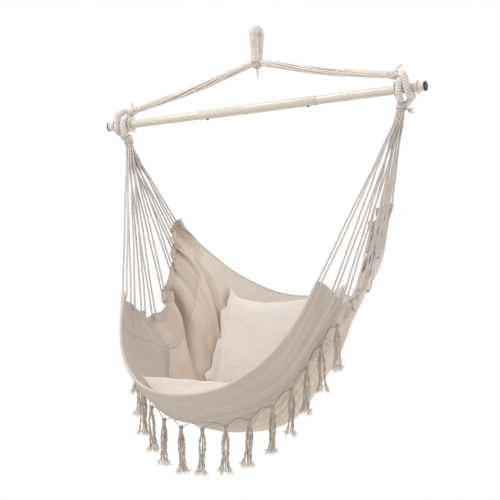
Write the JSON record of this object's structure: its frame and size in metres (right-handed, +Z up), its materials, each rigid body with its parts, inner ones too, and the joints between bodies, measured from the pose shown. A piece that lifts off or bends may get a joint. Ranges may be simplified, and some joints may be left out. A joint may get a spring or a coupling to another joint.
{
  "type": "hammock chair",
  "caption": "Hanging hammock chair: cushioned cloth seat with a knotted fringe, held by cords from the ends of a tubular spreader bar under a rope eye.",
  "frame": {"origin": "inner top of the hang eye, where the hook bears", "axes": "+X along the spreader bar to the right as seen from the front, -Y towards the front (where the sitter faces), +Z up"},
  "size_m": [1.0038, 0.6886, 1.2265],
  "materials": {
    "rope": "soft off-white cotton rope and cord",
    "painted_tube": "cream powder coat, semi-gloss",
    "cap": "dark moulded, matt",
    "spring_steel": "plain zinc-plated steel",
    "seat_cloth": "beige plain-weave cotton canvas",
    "band_cloth": "greyer beige plain-weave cotton canvas",
    "cushion_cloth": "off-white cotton over soft filling"
  },
  "bodies": {
    "hanger": {"hang_eye": "rope"},
    "lashing": {"eye_lashing": "rope"},
    "spreader": {"bar_middle_tube": "painted_tube", "bar_left_tube": "painted_tube", "bar_right_tube": "painted_tube", "left_inner_flange": "painted_tube", "left_outer_ring": "painted_tube", "left_end_cap": "cap", "left_button_spring": "spring_steel", "left_sling": "rope", "left_sling_knot": "rope", "left_bar_wrap": "rope", "right_inner_flange": "painted_tube", "right_outer_ring": "painted_tube", "right_end_cap": "cap", "right_button_spring": "spring_steel", "right_sling": "rope", "right_sling_knot": "rope", "right_bar_wrap": "rope"},
    "left_button": {"left_snap_button": "spring_steel"},
    "right_button": {"right_snap_button": "spring_steel"},
    "seat": {"left_neck": "rope", "left_neck_binding": "rope", "left_cord_loop_1": "rope", "left_cord_loop_2": "rope", "left_cord_loop_3": "rope", "left_cord_loop_4": "rope", "left_cord_loop_5": "rope", "left_cord_loop_6": "rope", "left_cord_loop_7": "rope", "left_cord_loop_8": "rope", "left_cord_loop_9": "rope", "right_neck": "rope", "right_neck_binding": "rope", "right_cord_loop_1": "rope", "right_cord_loop_2": "rope", "right_cord_loop_3": "rope", "right_cord_loop_4": "rope", "right_cord_loop_5": "rope", "right_cord_loop_6": "rope", "right_cord_loop_7": "rope", "right_cord_loop_8": "rope", "right_cord_loop_9": "rope", "seat_cloth": "seat_cloth", "front_strip": "band_cloth", "left_hem_strip": "band_cloth", "right_hem_strip": "band_cloth", "front_band": "band_cloth", "fringe": "rope"},
    "seat_cushion": {"seat_cushion": "cushion_cloth"},
    "back_cushion": {"back_cushion": "cushion_cloth"}
  },
  "joints": [
    {"name": "swing_fore_and_aft", "type": "hinge", "parent": "hanger", "child": "lashing", "pos_m": [0, 0, -0.086], "axis": [1, 0, 0], "range_deg": [-20, 20]},
    {"name": "swing_sideways", "type": "hinge", "parent": "lashing", "child": "spreader", "pos_m": [0, 0, -0.086], "axis": [0, 1, 0], "range_deg": [-12, 12]},
    {"name": "seat_rock", "type": "hinge", "parent": "spreader", "child": "seat", "pos_m": [0, 0, -0.214], "axis": [1, 0, 0], "range_deg": [-15, 15]},
    {"name": "left_button_press", "type": "slide", "parent": "spreader", "child": "left_button", "axis": [0, 0, 1], "range_m": [0, 0.0045], "stiffness_N_per_m": 900, "springref_m": -0.003, "deforming": ["left_button_spring"]},
    {"name": "right_button_press", "type": "slide", "parent": "spreader", "child": "right_button", "axis": [0, 0, 1], "range_m": [0, 0.0045], "stiffness_N_per_m": 900, "springref_m": -0.003, "deforming": ["right_button_spring"]},
    {"name": "seat_cushion_lift", "type": "slide", "parent": "seat", "child": "seat_cushion", "axis": [0, 0, 1], "range_m": [0, 0.25]},
    {"name": "back_cushion_lift", "type": "slide", "parent": "seat_cushion", "child": "back_cushion", "axis": [0, 0, 1], "range_m": [0, 0.25]}
  ]
}
